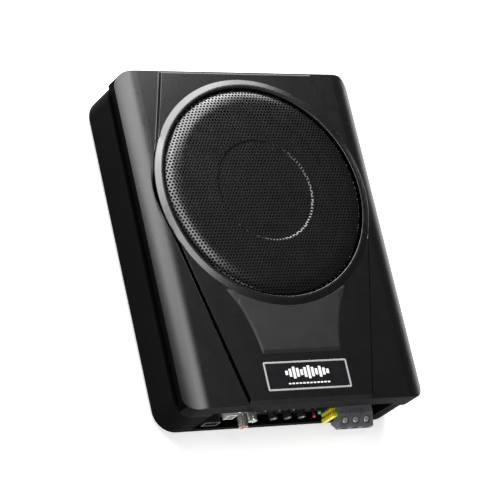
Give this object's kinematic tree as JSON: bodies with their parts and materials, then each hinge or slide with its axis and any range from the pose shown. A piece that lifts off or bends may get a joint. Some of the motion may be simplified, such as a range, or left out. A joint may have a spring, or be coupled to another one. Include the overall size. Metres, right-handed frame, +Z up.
{
  "type": "powered car subwoofer",
  "caption": "Slim powered under-seat car subwoofer: a rounded enclosure with a woofer under a domed perforated grille and a recessed panel of connectors and controls in one end.",
  "frame": {"origin": "centre of the bounding box on the plane that the rubber feet stand on", "axes": "+Z up through the grille; +Y from the connector end to the far end; +X across the width, to the right seen from the connector end"},
  "size_m": [0.25, 0.3306, 0.074],
  "materials": {
    "casing": "fine-textured satin black",
    "grille": "satin black powder coat",
    "black_plastic": "satin black",
    "badge_black": "fine-textured black",
    "badge_silver": "brushed silver",
    "nickel": "bright nickel plate",
    "steel": "zinc-plated",
    "black_steel": "satin black",
    "zinc": "yellow zinc plate",
    "copper": "enamelled copper winding",
    "red_plastic": "gloss red",
    "white_plastic": "gloss white",
    "fuse_yellow": "translucent yellow",
    "led_red": "clear red lens",
    "led_green": "clear green lens",
    "terminal_grey": "satin grey",
    "rubber": "matt black",
    "foam": "closed-cell foam",
    "paper": "coated paper pulp",
    "spider_cloth": "resin-stiffened cloth",
    "ferrite": "dark ceramic",
    "board_green": "green solder mask",
    "aluminium": "extruded"
  },
  "bodies": {
    "enclosure": {"base_shell": "casing", "top_cover": "casing", "grille": "grille", "badge_frame": "badge_silver", "badge_field": "badge_black", "woofer_basket": "black_steel", "woofer_gasket": "foam", "back_plate": "zinc", "magnet": "ferrite", "front_plate": "zinc", "circuit_board": "board_green", "heat_sink": "aluminium", "toroid": "copper", "capacitor_1": "black_plastic", "capacitor_2": "black_plastic", "control_panel": "black_plastic", "panel_screw_1": "steel", "panel_screw_2": "steel", "input_jack_right": "nickel", "input_jack_left": "nickel", "jack_insulator_right": "red_plastic", "jack_insulator_left": "white_plastic", "high_level_socket": "black_plastic", "remote_socket": "white_plastic", "phase_switch_body": "steel", "protect_led": "led_red", "power_led": "led_green", "fuse_holder": "black_plastic", "terminal_block": "terminal_grey", "woofer_screw_1": "steel", "foot_1": "rubber", "case_screw_1": "steel", "woofer_screw_2": "steel", "foot_2": "rubber", "case_screw_2": "steel", "woofer_screw_3": "steel", "foot_3": "rubber", "case_screw_3": "steel", "woofer_screw_4": "steel", "foot_4": "rubber", "case_screw_4": "steel"},
    "cone_assembly": {"cone": "paper", "dust_cap": "paper", "voice_coil": "copper", "surround": "rubber", "spider": "spider_cloth"},
    "gain_control": {"gain_knob": "black_plastic"},
    "crossover_control": {"crossover_knob": "black_plastic"},
    "bass_boost_control": {"bass_boost_knob": "black_plastic"},
    "phase_slider": {"phase_switch_slider": "black_plastic"},
    "fuse_unit": {"fuse": "fuse_yellow", "fuse_blade_1": "nickel", "fuse_blade_2": "nickel"},
    "terminal_clamp_1": {"terminal_screw_1": "steel"},
    "terminal_clamp_2": {"terminal_screw_2": "steel"},
    "terminal_clamp_3": {"terminal_screw_3": "steel"}
  },
  "joints": [
    {"name": "cone_travel", "type": "slide", "parent": "enclosure", "child": "cone_assembly", "axis": [0, 0, 1], "range_m": [-0.005, 0.005], "stiffness_N_per_m": 4000, "deforming": ["surround", "spider"]},
    {"name": "gain_knob_turn", "type": "hinge", "parent": "enclosure", "child": "gain_control", "pos_m": [-0.015, -0.14625, 0.025], "axis": [0, -1, 0], "range_deg": [-140, 140]},
    {"name": "crossover_knob_turn", "type": "hinge", "parent": "enclosure", "child": "crossover_control", "pos_m": [0, -0.14625, 0.025], "axis": [0, -1, 0], "range_deg": [-140, 140]},
    {"name": "bass_boost_knob_turn", "type": "hinge", "parent": "enclosure", "child": "bass_boost_control", "pos_m": [0.015, -0.14625, 0.025], "axis": [0, -1, 0], "range_deg": [-140, 140]},
    {"name": "phase_switch_slide", "type": "slide", "parent": "enclosure", "child": "phase_slider", "axis": [1, 0, 0], "range_m": [0, 0.0038]},
    {"name": "fuse_pull", "type": "slide", "parent": "enclosure", "child": "fuse_unit", "axis": [0, -1, 0], "range_m": [0, 0.03]},
    {"name": "terminal_screw_1_turn", "type": "hinge", "parent": "enclosure", "child": "terminal_clamp_1", "pos_m": [0.0636, -0.1592, 0.0207], "axis": [0, -0.342, 0.9397], "range_deg": [0, 720]},
    {"name": "terminal_screw_2_turn", "type": "hinge", "parent": "enclosure", "child": "terminal_clamp_2", "pos_m": [0.0751, -0.1592, 0.0207], "axis": [0, -0.342, 0.9397], "range_deg": [0, 720]},
    {"name": "terminal_screw_3_turn", "type": "hinge", "parent": "enclosure", "child": "terminal_clamp_3", "pos_m": [0.0866, -0.1592, 0.0207], "axis": [0, -0.342, 0.9397], "range_deg": [0, 720]}
  ]
}
